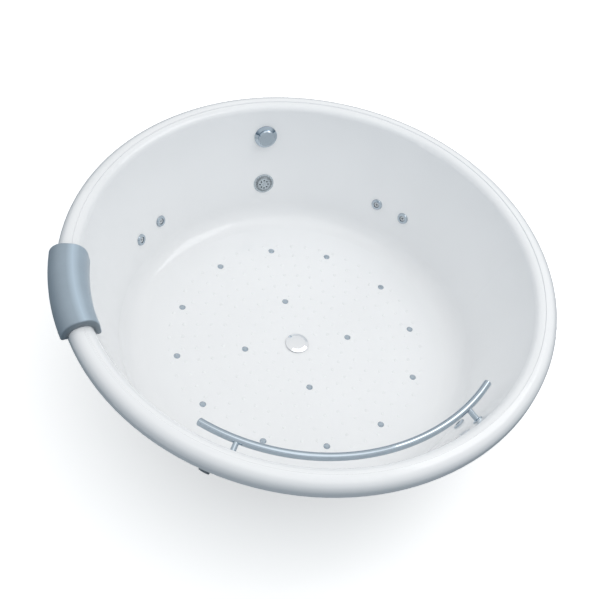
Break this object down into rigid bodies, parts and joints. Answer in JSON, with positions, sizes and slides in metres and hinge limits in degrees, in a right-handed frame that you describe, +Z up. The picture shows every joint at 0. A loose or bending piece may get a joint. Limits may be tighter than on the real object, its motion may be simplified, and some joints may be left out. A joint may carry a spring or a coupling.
{
  "type": "jetted bathtub",
  "caption": "Round drop-in jetted bath with water and air jets, curved grab rail, rim headrest, rotary waste, pump and blower on a levelling frame.",
  "frame": {"origin": "on the bath's axis at floor level", "axes": "+Z up, -X to the headrest, +Y to the overflow, -Y to the grab rail"},
  "size_m": [1.6226, 1.5998, 0.6556],
  "materials": {
    "white_acrylic": "glossy sanitary acrylic",
    "chrome_trim": "polished chrome",
    "jet_plastic": "glossy moulded plastic",
    "grey_trim": "satin moulded plastic",
    "soft_foam": "matte self-skinned polyurethane foam",
    "clear_rubber": "translucent soft rubber",
    "white_pvc": "satin rigid pipe",
    "grey_pvc": "satin rigid fitting",
    "black_plastic": "matte moulded plastic",
    "light_plastic": "matte moulded plastic",
    "black_rubber": "matte rubber",
    "cast_aluminium": "cast and finned",
    "steel": "zinc plated",
    "zinc_steel": "zinc plated sheet",
    "galvanised_steel": "galvanised",
    "board_wood": "laminated chipboard"
  },
  "bodies": {
    "bath": {"tub_shell": "white_acrylic", "jet_bezels": "chrome_trim", "jet_bodies": "grey_pvc", "water_ring": "white_pvc", "air_jet_caps": "chrome_trim", "air_manifold": "white_pvc", "air_loop_pipe": "white_pvc", "waste_flange": "chrome_trim", "waste_body": "black_plastic", "waste_trap": "black_plastic", "overflow_rosette": "chrome_trim", "overflow_body": "black_plastic", "overflow_pipe": "black_plastic", "release_cable": "black_rubber", "suction_cover": "grey_trim", "suction_body": "grey_pvc", "suction_pipe": "white_pvc", "pump_wet_end": "black_plastic", "pump_motor": "cast_aluminium", "pump_fan_cover": "black_plastic", "pump_foot": "zinc_steel", "pump_terminal_box": "black_plastic", "pressure_pipe": "white_pvc", "union_nuts": "grey_pvc", "blower_base": "black_plastic", "blower_housing": "black_plastic", "rubber_mounts": "black_rubber", "grab_rail": "chrome_trim", "rail_posts": "chrome_trim", "rail_rosettes": "chrome_trim", "rail_nuts": "steel", "base_board": "board_wood", "support_frame": "galvanised_steel", "leg_studs": "steel", "leg_nuts": "steel", "foot_pads": "black_rubber", "equipment_trays": "galvanised_steel", "tray_feet": "black_rubber", "control_box": "light_plastic", "cable_gland": "black_plastic", "internal_leads": "black_rubber"},
    "waste_plug": {"waste_cover": "chrome_trim"},
    "waste_knob": {"overflow_knob": "chrome_trim"},
    "pump_spindle": {"pump_rotor": "steel"},
    "blower_wheel": {"blower_fan": "black_plastic"},
    "headrest": {"headrest_pad": "soft_foam", "headrest_suckers": "clear_rubber"},
    "jet_eye_1": {"jet_nozzle_1": "jet_plastic"},
    "jet_eye_2": {"jet_nozzle_2": "jet_plastic"},
    "jet_eye_3": {"jet_nozzle_3": "jet_plastic"},
    "jet_eye_4": {"jet_nozzle_4": "jet_plastic"},
    "jet_eye_5": {"jet_nozzle_5": "jet_plastic"},
    "jet_eye_6": {"jet_nozzle_6": "jet_plastic"},
    "jet_eye_7": {"jet_nozzle_7": "jet_plastic"},
    "jet_eye_8": {"jet_nozzle_8": "jet_plastic"}
  },
  "joints": [
    {"name": "jet_eye_1_tilt", "type": "hinge", "parent": "bath", "child": "jet_eye_1", "pos_m": [0.48996, 0.40997, 0.33306], "axis": [0.6417, -0.7669, 0], "range_deg": [-12, 12]},
    {"name": "jet_eye_2_tilt", "type": "hinge", "parent": "bath", "child": "jet_eye_2", "pos_m": [0.40997, 0.48996, 0.33306], "axis": [0.7669, -0.6417, 0], "range_deg": [-12, 12]},
    {"name": "jet_eye_3_tilt", "type": "hinge", "parent": "bath", "child": "jet_eye_3", "pos_m": [-0.40997, 0.48996, 0.33306], "axis": [0.7669, 0.6417, 0], "range_deg": [-12, 12]},
    {"name": "jet_eye_4_tilt", "type": "hinge", "parent": "bath", "child": "jet_eye_4", "pos_m": [-0.48996, 0.40997, 0.33306], "axis": [0.6417, 0.7669, 0], "range_deg": [-12, 12]},
    {"name": "jet_eye_5_tilt", "type": "hinge", "parent": "bath", "child": "jet_eye_5", "pos_m": [-0.48996, -0.40997, 0.33306], "axis": [-0.6417, 0.7669, 0], "range_deg": [-12, 12]},
    {"name": "jet_eye_6_tilt", "type": "hinge", "parent": "bath", "child": "jet_eye_6", "pos_m": [-0.40997, -0.48996, 0.33306], "axis": [-0.7669, 0.6417, 0], "range_deg": [-12, 12]},
    {"name": "jet_eye_7_tilt", "type": "hinge", "parent": "bath", "child": "jet_eye_7", "pos_m": [0.40997, -0.48996, 0.33306], "axis": [-0.7669, -0.6417, 0], "range_deg": [-12, 12]},
    {"name": "jet_eye_8_tilt", "type": "hinge", "parent": "bath", "child": "jet_eye_8", "pos_m": [0.48996, -0.40997, 0.33306], "axis": [-0.6417, -0.7669, 0], "range_deg": [-12, 12]},
    {"name": "waste_knob_turn", "type": "hinge", "parent": "bath", "child": "waste_knob", "pos_m": [0, 0.69622, 0.5165], "axis": [0, -0.9496, 0.3133], "range_deg": [0, 110]},
    {"name": "waste_plug_lift", "type": "slide", "parent": "bath", "child": "waste_plug", "axis": [0, 0, 1], "range_m": [0, 0.01]},
    {"name": "pump_spin", "type": "hinge", "parent": "bath", "child": "pump_spindle", "pos_m": [0.14489, 0.67661, 0.098], "axis": [0.9659, -0.2588, 0], "continuous": true},
    {"name": "blower_spin", "type": "hinge", "parent": "bath", "child": "blower_wheel", "pos_m": [-0.36571, 0.5795, 0.029], "axis": [0, 0, 1], "continuous": true},
    {"name": "headrest_lift_off", "type": "slide", "parent": "bath", "child": "headrest", "axis": [0, 0, 1], "range_m": [0, 0.15]}
  ],
  "couplings": [
    {"joint": "waste_plug_lift", "follows": "waste_knob_turn", "m_per_rad": 0.0052}
  ]
}
